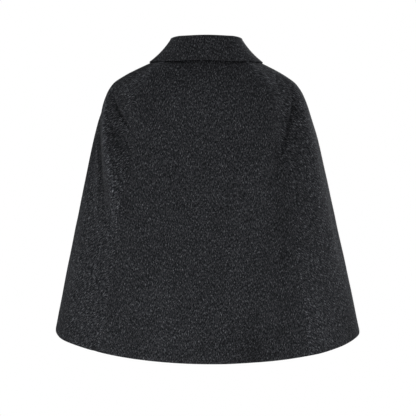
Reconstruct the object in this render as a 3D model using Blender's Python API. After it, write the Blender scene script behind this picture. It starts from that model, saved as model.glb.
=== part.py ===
"""Cape coat of brushed charcoal wool, filled out as when it is worn, with nobody inside it.

Metres, +Z up. The front faces -Y, the back faces +Y, and the wearer's left is +X. The origin is the
middle of the neck opening, level with the cloth beside the neck, where the wearer carries the coat.
"""
import math
from collections import namedtuple

import bmesh
import bpy
import numpy as np
from mathutils import Vector

MM = 0.001

# Cloth and seams
CLOTH = 2.6 * MM
COLLAR_CLOTH = 3.4 * MM
SEAM_GAP = 0.3 * MM

# Body rings, in millimetres, from the neck seam to the hem. drop is how far the ring's side point
# lies below the neck, side, back and front are its reach from the middle, the two lifts say how much
# higher than its side point its back and front points lie, and sway is how far the ring hangs aside,
# positive to the wearer's left.
Ring = namedtuple("Ring", "drop side back front back_lift front_lift sway")
RINGS = (
    Ring(drop=0, side=73, back=62, front=74, back_lift=-4, front_lift=-70, sway=0),
    Ring(drop=25, side=131, back=88, front=96, back_lift=-24, front_lift=-88, sway=1.5),
    Ring(drop=50, side=181, back=104, front=114, back_lift=-48, front_lift=-104, sway=3),
    Ring(drop=70, side=208, back=111, front=126, back_lift=-62, front_lift=-114, sway=3.5),
    Ring(drop=95, side=224, back=117, front=137, back_lift=-70, front_lift=-119, sway=3.4),
    Ring(drop=130, side=237, back=123, front=147, back_lift=-72, front_lift=-118, sway=2.8),
    Ring(drop=200, side=257, back=133, front=157, back_lift=-66, front_lift=-106, sway=1.2),
    Ring(drop=300, side=280, back=146, front=167, back_lift=-56, front_lift=-88, sway=-0.3),
    Ring(drop=450, side=313, back=168, front=183, back_lift=-42, front_lift=-62, sway=-1.4),
    Ring(drop=641, side=354, back=203, front=210, back_lift=-30, front_lift=-36, sway=-3),
)
HEM = RINGS[-1].drop
RING_SQUARENESS = 0.013

# The coat hangs a little unevenly, so its hem is this much higher on the left and lower on the right,
# in millimetres.
HEM_TILT = 3.0

# Seams from neck to hem, as angles in degrees round the body from the centre back. The seams of the
# back hang a little unevenly.
Seam = namedtuple("Seam", "drop back_left back_right front")
SEAMS = (
    Seam(drop=0, back_left=66, back_right=66, front=118),
    Seam(drop=25, back_left=61, back_right=61, front=121),
    Seam(drop=70, back_left=50, back_right=49.5, front=130),
    Seam(drop=150, back_left=41.5, back_right=41, front=138),
    Seam(drop=400, back_left=40.5, back_right=39.5, front=138.5),
    Seam(drop=641, back_left=41.5, back_right=37.7, front=138.5),
)

# Large folds. Each runs between two drops, at an angle that shifts from its top to its bottom, with
# a half width and a depth in millimetres. A ridge has a positive depth and a trough a negative one.
# Angles are positive on the wearer's left.
Fold = namedtuple("Fold", "name top bottom top_angle bottom_angle width depth")
FOLDS = (
    Fold("left arm hollow", 40, 270, 54, 37, 24, -14),
    Fold("left arm ridge", 60, 430, 74, 31, 17, 8),
    Fold("left arm trough", 120, 450, 85, 51, 18, -7),
    Fold("left hem ridge", 300, 900, 63, 66, 40, 6),
    Fold("right arm hollow", 30, 260, -58, -32, 23, -14),
    Fold("right back hollow", 130, 320, -37, -34, 18, -4),
    Fold("right arm ridge", 40, 440, -68, -57, 25, 8),
    Fold("right arm trough", 210, 560, -84, -74, 24, -5),
    Fold("right back trough", 300, 720, -30, -27, 30, -6),
    Fold("right hem trough", 460, 860, -18, -12, 45, -5),
    Fold("right hem ridge", 430, 900, -43, -42, 34, 5),
    Fold("left front hollow", 60, 280, 122, 133, 26, -8),
    Fold("left front ridge", 140, 900, 118, 126, 34, 6),
    Fold("left front trough", 260, 900, 106, 110, 30, -5),
    Fold("right front hollow", 60, 290, -121, -132, 26, -8),
    Fold("right front ridge", 120, 900, -120, -124, 32, 6),
    Fold("right front trough", 300, 900, -105, -108, 32, -5),
)

# The fronts lap at the centre, the right one over the left one.
FRONT_LAP = 25 * MM
LAP_CLEARANCE = 0.7 * MM
LAP_RAMP = 60 * MM

# Collar, in millimetres, from the centre back to a front end. angle is where a line across it
# starts on the neck seam, edge_angle and edge_drop are where it ends on the body, rise is the
# height of its roll, clear is its distance from the body at its edge, and hollow is how far the
# fall dips between the roll and its edge. The twist sets its edge lower on the left than on the right.
Across = namedtuple("Across", "angle edge_angle edge_drop rise clear hollow")
COLLAR_LINES = (
    Across(angle=0, edge_angle=0, edge_drop=6.3, rise=45, clear=7, hollow=0),
    Across(angle=45, edge_angle=45, edge_drop=12, rise=41.5, clear=5, hollow=1.5),
    Across(angle=90, edge_angle=90, edge_drop=24, rise=33, clear=2.1, hollow=6),
    Across(angle=135, edge_angle=128, edge_drop=26, rise=35, clear=3, hollow=1.5),
    Across(angle=179, edge_angle=153, edge_drop=30, rise=30, clear=3.5, hollow=0),
)
COLLAR_TWIST = 0.6
ROLL_RADIUS = 3.5 * MM
STAND_FOOT = 0.6 * MM

# Buttons, sewn through four holes on the centre front
BUTTON_COUNT = 5
TOP_BUTTON_HEIGHT = -102 * MM
BUTTON_SPACING = 105 * MM
BUTTON_CLEARANCE = 0.3 * MM
HOLE_RADIUS = 1.1 * MM
HOLE_OFFSET = 2.2 * MM
DRILL_LENGTH = 20.0 * MM

# A button's section, in millimetres, from the middle of its dish over its rim to the middle below.
Turning = namedtuple("Turning", "name radius height")
BUTTON_SECTION = (
    Turning("dish middle", radius=0.0, height=3.4),
    Turning("dish edge", radius=6.5, height=3.4),
    Turning("rim inside", radius=8.9, height=4.6),
    Turning("rim outside", radius=11.0, height=4.6),
    Turning("side top", radius=12.5, height=3.4),
    Turning("side bottom", radius=12.5, height=1.6),
    Turning("foot edge", radius=10.0, height=0.0),
    Turning("foot middle", radius=0.0, height=0.0),
)

# Fineness of the solids
SHOULDER_ROWS = 11
BODY_ROWS = 21
SHOULDER_DROP = 120.0
BACK_COLUMNS = 20
SIDE_COLUMNS = 21
FRONT_COLUMNS = 12
COLLAR_COLUMNS = 44
STAND_STEPS = 3
ROLL_STEPS = 5
FALL_STEPS = 6
BUTTON_SIDES = 18
HOLE_SIDES = 6
FRONT_SAMPLES = 200
STEP_ANGLE = 0.25
STEP_DROP = 0.5
WELD = 0.01 * MM
SHARP_ANGLE = math.radians(50)

# Colours, as linear red, green and blue, and how rough each surface is
WOOL_COLOUR = (0.024, 0.025, 0.028)
WOOL_ROUGHNESS = 0.95
HORN_COLOUR = (0.012, 0.011, 0.011)
HORN_ROUGHNESS = 0.35


def smooth_curve(rows, key, column, level_start=False):
    """Return a smooth function through a table's column, with no overshoot between its rows.

    A column that runs on as its own mirror image past the first row starts level.
    """
    knots = np.array([getattr(row, key) for row in rows], float)
    values = np.array([getattr(row, column) for row in rows], float)
    spans = np.diff(knots)
    rates = np.diff(values) / spans
    slopes = np.empty_like(values)
    slopes[0] = 0.0 if level_start else rates[0]
    slopes[-1] = rates[-1]
    before, after = rates[:-1], rates[1:]
    same_way = before * after > 0
    weighted = spans[:-1] + spans[1:]
    mean = np.where(same_way, before * after, 0.0) * weighted
    slopes[1:-1] = mean / np.where(same_way, spans[:-1] * after + spans[1:] * before, 1.0)

    def value(place):
        place = np.asarray(place, float)
        span = np.clip(np.searchsorted(knots, place) - 1, 0, len(spans) - 1)
        width = spans[span]
        along = (place - knots[span]) / width
        back = 1.0 - along
        start = (1.0 + 2.0 * along) * back**2 * values[span] + along * back**2 * width * slopes[span]
        end = along**2 * (3.0 - 2.0 * along) * values[span + 1] - along**2 * back * width * slopes[span + 1]
        return start + end

    return value


RING = {column: smooth_curve(RINGS, "drop", column) for column in Ring._fields[1:]}
SEAM = {column: smooth_curve(SEAMS, "drop", column) for column in Seam._fields[1:]}
LINE = {
    column: smooth_curve(COLLAR_LINES, "angle", column, level_start=column != "edge_angle")
    for column in Across._fields[1:]
}


def smooth_step(value):
    """Return 0 below 0, 1 above 1 and a soft ramp between them."""
    value = np.clip(value, 0.0, 1.0)
    return value * value * (3.0 - 2.0 * value)


def plain_body(angle, drop):
    """Return points of the body with no folds, for angles in degrees and drops in millimetres."""
    turn = np.radians(angle)
    behind = np.cos(turn) > 0
    depth = np.where(behind, RING["back"](drop), RING["front"](drop))
    lift = np.where(behind, RING["back_lift"](drop), RING["front_lift"](drop))
    across = (np.sin(turn) + RING_SQUARENESS * np.sin(3 * turn)) / (1 - RING_SQUARENESS)
    along = (np.cos(turn) - RING_SQUARENESS * np.cos(3 * turn)) / (1 - RING_SQUARENESS)
    height = lift * np.cos(turn) ** 2 - drop + HEM_TILT * across * drop / HEM
    aside = RING["side"](drop) * across + RING["sway"](drop)
    return np.stack([aside, depth * along, height], axis=-1) * MM


def surface_frame(surface, angle, drop):
    """Return the outward normals of a surface, and how far a degree round it reaches."""
    lower = np.minimum(drop + STEP_DROP, HEM)
    upper = np.maximum(drop - STEP_DROP, 0.0)
    round_it = surface(angle + STEP_ANGLE, drop) - surface(angle - STEP_ANGLE, drop)
    down_it = surface(angle, lower) - surface(angle, upper)
    normal = np.cross(round_it, down_it)
    normal /= np.linalg.norm(normal, axis=-1, keepdims=True)
    reach = np.linalg.norm(round_it, axis=-1) / (2 * STEP_ANGLE)
    return normal, reach


def turned(angle):
    """Return angles brought between -180 and 180 degrees."""
    return (np.asarray(angle, float) + 180.0) % 360.0 - 180.0


def fold_height(angle, drop, reach):
    """Return how far the folds move the cloth out, in metres."""
    height = np.zeros_like(reach)
    for fold in FOLDS:
        along = (drop - fold.top) / (fold.bottom - fold.top)
        middle = fold.top_angle + (fold.bottom_angle - fold.top_angle) * along
        away = turned(angle - middle) * reach / (fold.width * MM)
        fade = np.sin(np.pi * np.clip(along, 0.0, 1.0)) ** 2
        height += fold.depth * MM * fade * np.exp(-(away**2))
    return height


def body(angle, drop):
    """Return points of the cloth's outer face, folds and all."""
    angle, drop = np.broadcast_arrays(np.asarray(angle, float), np.asarray(drop, float))
    normal, reach = surface_frame(plain_body, angle, drop)
    return plain_body(angle, drop) + normal * fold_height(angle, drop, reach)[..., None]


def row_drops():
    """Return the drops of the rows of points, closer together over the shoulders."""
    shoulder = np.linspace(0.0, SHOULDER_DROP, SHOULDER_ROWS, endpoint=False)
    return np.append(shoulder, np.linspace(SHOULDER_DROP, HEM, BODY_ROWS + 1))


def new_object(name, mesh, material):
    """Put a mesh into the scene as a named object of one material."""
    mesh.materials.append(material)
    mesh.shade_smooth()
    mesh.set_sharp_from_angle(angle=SHARP_ANGLE)
    thing = bpy.data.objects.new(name, mesh)
    bpy.context.scene.collection.objects.link(thing)
    return thing


def wall(name, outer, inner, material):
    """Make a closed wall from the grids of points of its outer and inner faces."""
    rows, columns = outer.shape[:2]
    shape = bmesh.new()
    faces = []
    for grid in (outer, inner):
        faces.append([[shape.verts.new(point) for point in row] for row in grid])
    out, into = faces
    for row in range(rows - 1):
        for column in range(columns - 1):
            corners = ((row, column), (row, column + 1), (row + 1, column + 1), (row + 1, column))
            shape.faces.new([out[i][j] for i, j in corners])
            shape.faces.new([into[i][j] for i, j in reversed(corners)])
    rim = [(0, column) for column in range(columns)]
    rim += [(row, columns - 1) for row in range(1, rows)]
    rim += [(rows - 1, column) for column in range(columns - 2, -1, -1)]
    rim += [(row, 0) for row in range(rows - 2, 0, -1)]
    for (i, j), (k, m) in zip(rim, rim[1:] + rim[:1]):
        corners = (out[k][m], out[i][j], into[i][j], into[k][m])
        # Each rim face is split from its outer upper corner, so that neighbours stay parallel at a seam.
        first = 1 if k > i else 0
        turned_corners = corners[first:] + corners[:first]
        shape.faces.new(turned_corners[:3])
        shape.faces.new(turned_corners[2:] + turned_corners[:1])
    bmesh.ops.recalc_face_normals(shape, faces=shape.faces)
    mesh = bpy.data.meshes.new(name)
    shape.to_mesh(mesh)
    shape.free()
    return new_object(name, mesh, material)


def body_panel(name, start, end, columns, material, tuck=None):
    """Make one panel of the body between two edges, given as angles for each row of points."""
    drop = row_drops()[:, None]
    share = np.linspace(0.0, 1.0, columns + 1)[None, :]
    edges = np.stack([start(drop[:, 0]), end(drop[:, 0])], axis=1)
    reach = surface_frame(plain_body, edges, np.broadcast_to(drop, edges.shape))[1]
    edges += np.array([1.0, -1.0]) * (SEAM_GAP / 2) / reach
    angle = edges[:, :1] + (edges[:, 1:] - edges[:, :1]) * share
    drop = np.broadcast_to(drop, angle.shape)
    outer = body(angle, drop)
    normal = surface_frame(body, angle, drop)[0]
    if tuck is not None:
        outer = outer - normal * tuck(outer)[..., None]
    return wall(name, outer, outer - normal * CLOTH, material)


def lap_angle(drop):
    """Return the angle of a front's free edge, which runs straight down past the centre front."""
    return 180.0 + np.degrees(np.arcsin(FRONT_LAP / (RING["side"](drop) * MM)))


def lap_tuck(points):
    """Return how far the under front steps in where the other front covers it."""
    past_lap = (points[..., 0] - FRONT_LAP) / LAP_RAMP
    return (CLOTH + LAP_CLEARANCE) * (1.0 - smooth_step(past_lap))


def make_body(material):
    """Make the back, the two sides and the two fronts."""
    left, right, front = SEAM["back_left"], SEAM["back_right"], SEAM["front"]

    def other_side(edge):
        return lambda drop: -edge(drop)

    body_panel("back", other_side(right), left, BACK_COLUMNS, material)
    body_panel("side_left", left, front, SIDE_COLUMNS, material)
    body_panel("side_right", other_side(front), other_side(right), SIDE_COLUMNS, material)
    body_panel("front_left", front, lap_angle, FRONT_COLUMNS, material, tuck=lap_tuck)
    body_panel("front_right", other_side(lap_angle), other_side(front), FRONT_COLUMNS, material)


def collar_line(place):
    """Return the points of one line across the collar, from its foot over the roll to its edge."""
    side = math.copysign(1.0, place)
    angle = abs(place)
    foot = plain_body(side * angle, 0.0)
    turn = math.radians(side * angle)
    outward = np.array([math.sin(turn) * RING["back"](0), math.cos(turn) * RING["side"](0), 0.0])
    outward /= np.linalg.norm(outward)
    up = np.array([0.0, 0.0, 1.0])
    rise = LINE["rise"](angle) * MM - ROLL_RADIUS
    points = [foot + up * height for height in np.linspace(STAND_FOOT, rise, STAND_STEPS, endpoint=False)]
    for swing in np.linspace(0.0, math.pi, ROLL_STEPS + 1):
        over = ROLL_RADIUS * (1.0 - math.cos(swing))
        points.append(foot + outward * over + up * (rise + ROLL_RADIUS * math.sin(swing)))
    start = points[-1]
    edge_angle = side * LINE["edge_angle"](angle)
    edge_drop = LINE["edge_drop"](angle) + COLLAR_TWIST * math.sin(turn)
    normal = surface_frame(body, edge_angle, edge_drop)[0]
    edge = body(edge_angle, edge_drop) + normal * LINE["clear"](angle) * MM
    bend = (start + edge) / 2 - (outward + up) * LINE["hollow"](angle) * MM
    for share in np.linspace(0.0, 1.0, FALL_STEPS + 1)[1:]:
        rest = 1.0 - share
        points.append(start * rest**2 + bend * 2 * share * rest + edge * share**2)
    return points


def make_collar(material):
    """Make the collar, stand and fall in one folded wall."""
    end = COLLAR_LINES[-1].angle
    middle = np.array([collar_line(place) for place in np.linspace(-end, end, COLLAR_COLUMNS + 1)])
    along = np.gradient(middle, axis=0)
    across = np.gradient(middle, axis=1)
    normal = np.cross(along, across)
    normal /= np.linalg.norm(normal, axis=-1, keepdims=True)
    half = normal * COLLAR_CLOTH / 2
    return wall("collar", middle + half, middle - half, material)


def linked_object(name, shape):
    """Put a bmesh into the scene as an object with no material yet, and free it."""
    mesh = bpy.data.meshes.new(name)
    shape.to_mesh(mesh)
    shape.free()
    thing = bpy.data.objects.new(name, mesh)
    bpy.context.scene.collection.objects.link(thing)
    return thing


def button_blank():
    """Turn a dished button with a raised rim."""
    shape = bmesh.new()
    line = [shape.verts.new((turn.radius * MM, 0.0, turn.height * MM)) for turn in BUTTON_SECTION]
    edges = [shape.edges.new(pair) for pair in zip(line, line[1:])]
    bmesh.ops.spin(
        shape, geom=line + edges, axis=(0, 0, 1), cent=(0, 0, 0), angle=math.tau, steps=BUTTON_SIDES,
    )
    bmesh.ops.remove_doubles(shape, verts=shape.verts, dist=WELD)
    bmesh.ops.recalc_face_normals(shape, faces=shape.faces)
    return linked_object("button_blank", shape)


def button_drill():
    """Make the four rods that cut a button's holes."""
    shape = bmesh.new()
    for x_side in (-1, 1):
        for y_side in (-1, 1):
            rod = bmesh.ops.create_cone(
                shape, cap_ends=True, segments=HOLE_SIDES, radius1=HOLE_RADIUS, radius2=HOLE_RADIUS,
                depth=DRILL_LENGTH,
            )
            shift = Vector((x_side * HOLE_OFFSET, y_side * HOLE_OFFSET, 0.0))
            bmesh.ops.translate(shape, verts=rod["verts"], vec=shift)
    return linked_object("button_drill", shape)


def button_mesh():
    """Return the mesh of a button with its holes cut."""
    blank = button_blank()
    drill = button_drill()
    cut = blank.modifiers.new("holes", "BOOLEAN")
    cut.object = drill
    cut.operation = "DIFFERENCE"
    cut.solver = "EXACT"
    evaluated = blank.evaluated_get(bpy.context.evaluated_depsgraph_get())
    mesh = bpy.data.meshes.new_from_object(evaluated)
    bpy.data.objects.remove(blank)
    bpy.data.objects.remove(drill)
    return mesh


def make_buttons(material):
    """Place the buttons down the outer front, square to the cloth under each."""
    mesh = button_mesh()
    drops = np.linspace(HEM, 0.0, FRONT_SAMPLES)
    heights = body(180.0, drops)[:, 2]
    for number in range(BUTTON_COUNT):
        drop = float(np.interp(TOP_BUTTON_HEIGHT - number * BUTTON_SPACING, heights, drops))
        normal = Vector(surface_frame(body, 180.0, drop)[0])
        button = new_object(f"button_{number + 1}", mesh.copy(), material)
        button.location = Vector(body(180.0, drop)) + normal * BUTTON_CLEARANCE
        button.rotation_euler = normal.to_track_quat("Z", "Y").to_euler()


def plain_material(name, colour, roughness):
    """Make a material of one colour."""
    material = bpy.data.materials.new(name)
    material.use_nodes = True
    shader = material.node_tree.nodes["Principled BSDF"]
    shader.inputs["Base Color"].default_value = (*colour, 1.0)
    shader.inputs["Roughness"].default_value = roughness
    shader.inputs["Metallic"].default_value = 0.0
    return material


def main():
    for thing in list(bpy.data.objects):
        bpy.data.objects.remove(thing)
    wool = plain_material("charcoal_wool", WOOL_COLOUR, WOOL_ROUGHNESS)
    horn = plain_material("black_horn", HORN_COLOUR, HORN_ROUGHNESS)
    make_body(wool)
    make_collar(wool)
    make_buttons(horn)


main()
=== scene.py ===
# %% [markdown]
# # A cape coat in brushed charcoal wool
# The frame holds the coat's pieces as plain solids at their real size: a back, two sides, two
# fronts, a collar and five buttons. This lesson makes the coat that the eye sees. Each piece of cloth
# becomes a thin shell on the form of its solid, with seams, small creases and a brushed nap.
# The front faces -Y, the wearer's left is +X, and the origin is the middle of the neck.

# %% Load the frame
import math
from collections import namedtuple

import bpy
import numpy as np
from mathutils import Matrix, Vector


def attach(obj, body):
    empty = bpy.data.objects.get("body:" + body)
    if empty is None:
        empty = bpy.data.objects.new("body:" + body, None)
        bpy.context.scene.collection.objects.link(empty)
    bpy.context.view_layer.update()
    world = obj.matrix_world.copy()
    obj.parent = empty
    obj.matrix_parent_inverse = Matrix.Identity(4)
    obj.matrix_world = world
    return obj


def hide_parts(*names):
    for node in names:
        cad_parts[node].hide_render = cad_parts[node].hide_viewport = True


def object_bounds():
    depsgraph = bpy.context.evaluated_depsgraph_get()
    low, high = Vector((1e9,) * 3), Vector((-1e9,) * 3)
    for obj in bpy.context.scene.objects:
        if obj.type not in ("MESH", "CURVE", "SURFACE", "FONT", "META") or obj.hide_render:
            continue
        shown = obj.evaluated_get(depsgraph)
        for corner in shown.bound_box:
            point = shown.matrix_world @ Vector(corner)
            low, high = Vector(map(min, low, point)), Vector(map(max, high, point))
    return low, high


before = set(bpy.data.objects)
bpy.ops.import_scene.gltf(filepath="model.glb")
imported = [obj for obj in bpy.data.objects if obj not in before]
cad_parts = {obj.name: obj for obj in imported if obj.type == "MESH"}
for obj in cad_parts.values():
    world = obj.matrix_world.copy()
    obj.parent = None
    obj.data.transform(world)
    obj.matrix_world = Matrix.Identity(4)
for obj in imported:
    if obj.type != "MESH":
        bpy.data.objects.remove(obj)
cad_box = [list(corner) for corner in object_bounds()]
MM = 0.001
print("CAD nodes:", ", ".join(sorted(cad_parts)))

# %% [markdown]
# ## Working by hand, from a script
# Operators act on whatever is selected, so each step first picks the one piece it works on. A
# modifier is added with its settings and applied at once, as one would do in the modifier panel.

# %% Picking a piece and applying a modifier
def pick(piece):
    """Select one piece alone and make it the active one."""
    bpy.ops.object.select_all(action="DESELECT")
    piece.select_set(True)
    bpy.context.view_layer.objects.active = piece


def apply_modifier(piece, kind, **settings):
    """Add a modifier with its settings and apply it."""
    pick(piece)
    modifier = piece.modifiers.new(kind.lower(), kind)
    for name, value in settings.items():
        setattr(modifier, name, value)
    bpy.ops.object.modifier_apply(modifier=modifier.name)


print(f"{len(bpy.context.selected_objects)} objects are still selected after loading")

# %% [markdown]
# ## The cut of the coat
# A coat like this is drafted as rings round the figure: how far each ring reaches to the side, the
# back and the front, and how its middle lifts. The solids in the frame were drawn from these sizes,
# so the cloth repeats them, though its shoulder seams meet the collar a little nearer the centre back.
# The form could be sculpted instead, but rings keep all the panels on one body. All sizes in the
# tables are millimetres, and all angles are degrees round the body from the centre back, positive on
# the wearer's left.

# %% Rings
Ring = namedtuple("Ring", "drop side back front back_lift front_lift sway")
RINGS = (
    Ring(drop=0, side=73, back=62, front=74, back_lift=-4, front_lift=-70, sway=0),
    Ring(drop=25, side=131, back=88, front=96, back_lift=-24, front_lift=-88, sway=1.5),
    Ring(drop=50, side=181, back=104, front=114, back_lift=-48, front_lift=-104, sway=3),
    Ring(drop=70, side=208, back=111, front=126, back_lift=-62, front_lift=-114, sway=3.5),
    Ring(drop=95, side=224, back=117, front=137, back_lift=-70, front_lift=-119, sway=3.4),
    Ring(drop=130, side=237, back=123, front=147, back_lift=-72, front_lift=-118, sway=2.8),
    Ring(drop=200, side=257, back=133, front=157, back_lift=-66, front_lift=-106, sway=1.2),
    Ring(drop=300, side=280, back=146, front=167, back_lift=-56, front_lift=-88, sway=-0.3),
    Ring(drop=450, side=313, back=168, front=183, back_lift=-42, front_lift=-62, sway=-1.4),
    Ring(drop=641, side=354, back=203, front=210, back_lift=-30, front_lift=-36, sway=-3),
)
HEM = RINGS[-1].drop
RING_SQUARENESS = 0.013

# The coat hangs a little unevenly, so its hem is this much higher on the left and lower on the right.
HEM_TILT = 3.0
print(f"{len(RINGS)} rings, the last {HEM} mm down")

# %% Seams and large folds
Seam = namedtuple("Seam", "drop back_left back_right front")
SEAMS = (
    Seam(drop=0, back_left=59, back_right=55, front=118),
    Seam(drop=25, back_left=54, back_right=50.5, front=121),
    Seam(drop=70, back_left=46.5, back_right=45.5, front=130),
    Seam(drop=150, back_left=41.5, back_right=41, front=138),
    Seam(drop=400, back_left=40.5, back_right=39.5, front=138.5),
    Seam(drop=641, back_left=41.5, back_right=37.7, front=138.5),
)

# A fold runs between two drops and shifts from one angle to another. Its width is half its breadth,
# and its bow is how many degrees its middle stands off the straight way.
Fold = namedtuple("Fold", "name top bottom top_angle bottom_angle width depth bow", defaults=(0,))
FOLDS = (
    Fold("left arm hollow", 40, 270, 54, 37, 24, -14),
    Fold("left arm ridge", 60, 430, 74, 31, 17, 8),
    Fold("left arm trough", 120, 450, 85, 51, 18, -7),
    Fold("left hem ridge", 300, 900, 63, 66, 40, 6),
    Fold("right arm hollow", 30, 260, -58, -32, 23, -14),
    Fold("right back hollow", 130, 320, -37, -34, 18, -4),
    Fold("right arm ridge", 40, 440, -68, -57, 25, 8),
    Fold("right arm trough", 210, 560, -84, -74, 24, -5),
    Fold("right back trough", 300, 720, -30, -27, 30, -6),
    Fold("right hem trough", 460, 860, -18, -12, 45, -5),
    Fold("right hem ridge", 430, 900, -43, -42, 34, 5),
    Fold("left front hollow", 60, 280, 122, 133, 26, -8),
    Fold("left front ridge", 140, 900, 118, 126, 34, 6),
    Fold("left front trough", 260, 900, 106, 110, 30, -5),
    Fold("right front hollow", 60, 290, -121, -132, 26, -8),
    Fold("right front ridge", 120, 900, -120, -124, 32, 6),
    Fold("right front trough", 300, 900, -105, -108, 32, -5),
)
print(f"{len(SEAMS)} seam stations, {len(FOLDS)} large folds")

# %% [markdown]
# ## Small creases, and painted light and shade
# Brushed coating is thick, so it breaks into few, soft creases. A cloth simulation could make some,
# but placed one by one each falls where it should: where the cloth turns over the arms, along the
# seams and above the hem, with similar ones on the front. A few wide, low swells fill the shoulders
# and the hem, and a dart on each shoulder takes up the cloth between the neck and the arm. Each of
# these is also painted paler on its crest and darker in its hollow, as painted light and shade. In
# other places the cloth keeps its form, and only painted light and shade make it paler or darker.

# %% Creases, swells and darts
# Each of these also paints the cloth paler on its crest and darker in its hollow: painted light and
# shade.
CREASES = (
    Fold("left shoulder dart", -88, 88, 93, 93, 2.4, -1.5),
    Fold("right shoulder dart", -88, 88, -93, -93, 2.4, -1.5),
    Fold("left shoulder swell", -20, 85, 62, 53, 13, 3.5),
    Fold("right shoulder swell", -20, 85, -59, -51, 13, 3.5),
    Fold("left arm tuck", 60, 150, 83, 33, 9, -6),
    Fold("left arm tuck ridge", 40, 125, 66, 29, 14, 2),
    Fold("left arm second tuck", 125, 205, 63, 44, 10, -3),
    Fold("left arm tuck hollow", 60, 205, 69, 44, 19, -5),
    Fold("left arm crease", 20, 420, 101, 43, 13, 9, -20),
    Fold("left arm side trough", 80, 380, 106, 52, 14, -9, -14),
    Fold("left seam pucker", 470, 900, 43.5, 45, 7, -3.5),
    Fold("left hem swell", 380, 690, 13, 18, 60, 3),
    Fold("right arm tuck", 40, 195, -76, -36, 9, -7),
    Fold("right arm tuck hollow", 60, 235, -67, -47, 18, -5.5),
    Fold("right back crease", 110, 240, -39, -36, 5, -2),
    Fold("right back band", 110, 680, -40, -26, 23, -4),
    Fold("right hem dip", 480, 780, -18, -13, 38, -4),
    Fold("right hem swell", 400, 700, -44, -42, 30, 3),
    Fold("right corner dip", 520, 800, -72, -64, 40, -3),
    Fold("left front crease", 110, 360, 104, 124, 9, 1.8),
    Fold("right front crease", 100, 340, -103, -126, 9, 1.8),
    Fold("right front pucker", 430, 900, -141, -143, 8, -1.6),
)
print(f"{len(CREASES)} creases, swells and darts")

# %% Marks of painted light and shade
# Here the cloth keeps its form, and only its colour is painted paler or darker, as painted light
# and shade. The depth is that of the crest or hollow that would look the same.
PAINTED_MARKS = (
    Fold("left collar painted light", -30, 75, 66, 54, 15, 9),
    Fold("right collar painted light", -30, 75, -62, -51, 15, 9),
    Fold("left arm painted light", -40, 420, 123, 43, 6, 9, -26),
    Fold("left arm side", 130, 350, 86, 80, 20, -11),
    Fold("right hem", 520, 760, -20, -14, 60, -3),
    Fold("right corner", 480, 780, -76, -66, 60, -8),
    Fold("left corner", 460, 780, 76, 66, 55, -6),
    Fold("left seam painted light", 430, 780, 41.1, 42.6, 2.5, 9),
    Fold("right seam painted light", 470, 800, -39.5, -37, 2.5, 9),
    Fold("upper back painted light", -20, 100, 0, 0, 95, 3),
    Fold("right arm side", 130, 370, -46, -42, 24, -4),
    Fold("right back painted light", 140, 420, -24, -20, 45, 2),
)
print(f"{len(PAINTED_MARKS)} marks of painted light and shade")

# %% The slight unevenness of pressed cloth
WAVE_COUNT = 14
SHORTEST_WAVE = 34.0 * MM
LONGEST_WAVE = 120.0 * MM
WAVE_STEEPNESS = 0.0009
WAVE_SEED = 11
draws = np.random.default_rng(WAVE_SEED)
wave_ways = draws.normal(size=(WAVE_COUNT, 3))
wave_ways /= np.linalg.norm(wave_ways, axis=1, keepdims=True)
wave_lengths = draws.uniform(SHORTEST_WAVE, LONGEST_WAVE, WAVE_COUNT)
wave_starts = draws.uniform(0.0, math.tau, WAVE_COUNT)
print(f"{WAVE_COUNT} faint waves, the longest {wave_lengths.max() / MM:.0f} mm")

# %% [markdown]
# ## The form of the cloth
# Smooth curves run down the tables, so a ring can be worked out at any drop. A ring is nearly an
# ellipse, a little squarer, and each half has its own depth. Folds push the cloth out or in along
# its own outward direction, which is found from two small steps on the surface.

# %% Curves down the tables
def smooth_curve(rows, key, column, level_start=False):
    """Return a smooth function through a table's column, with no overshoot between its rows."""
    knots = np.array([getattr(row, key) for row in rows], float)
    values = np.array([getattr(row, column) for row in rows], float)
    spans = np.diff(knots)
    rates = np.diff(values) / spans
    slopes = np.empty_like(values)
    slopes[0] = 0.0 if level_start else rates[0]
    slopes[-1] = rates[-1]
    before, after = rates[:-1], rates[1:]
    same_way = before * after > 0
    mean = np.where(same_way, before * after, 0.0) * (spans[:-1] + spans[1:])
    slopes[1:-1] = mean / np.where(same_way, spans[:-1] * after + spans[1:] * before, 1.0)

    def value(place):
        place = np.asarray(place, float)
        span = np.clip(np.searchsorted(knots, place) - 1, 0, len(spans) - 1)
        width = spans[span]
        along = (place - knots[span]) / width
        back = 1.0 - along
        start = back**2 * ((1.0 + 2.0 * along) * values[span] + along * width * slopes[span])
        end = along**2 * ((3.0 - 2.0 * along) * values[span + 1] - back * width * slopes[span + 1])
        return start + end

    return value


RING = {column: smooth_curve(RINGS, "drop", column) for column in Ring._fields[1:]}
SEAM = {column: smooth_curve(SEAMS, "drop", column) for column in Seam._fields[1:]}
print(f"neck {2 * RING['side'](0):.0f} mm wide, hem {2 * RING['side'](HEM):.0f} mm wide")

# %% The body with no folds
STEP_ANGLE = 0.25
STEP_DROP = 0.5


def plain_body(angle, drop):
    """Return points of the body with no folds."""
    turn = np.radians(angle)
    behind = np.cos(turn) > 0
    depth = np.where(behind, RING["back"](drop), RING["front"](drop))
    lift = np.where(behind, RING["back_lift"](drop), RING["front_lift"](drop))
    across = (np.sin(turn) + RING_SQUARENESS * np.sin(3 * turn)) / (1 - RING_SQUARENESS)
    along = (np.cos(turn) - RING_SQUARENESS * np.cos(3 * turn)) / (1 - RING_SQUARENESS)
    height = lift * np.cos(turn) ** 2 - drop + HEM_TILT * across * drop / HEM
    aside = RING["side"](drop) * across + RING["sway"](drop)
    return np.stack([aside, depth * along, height], axis=-1) * MM


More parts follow.
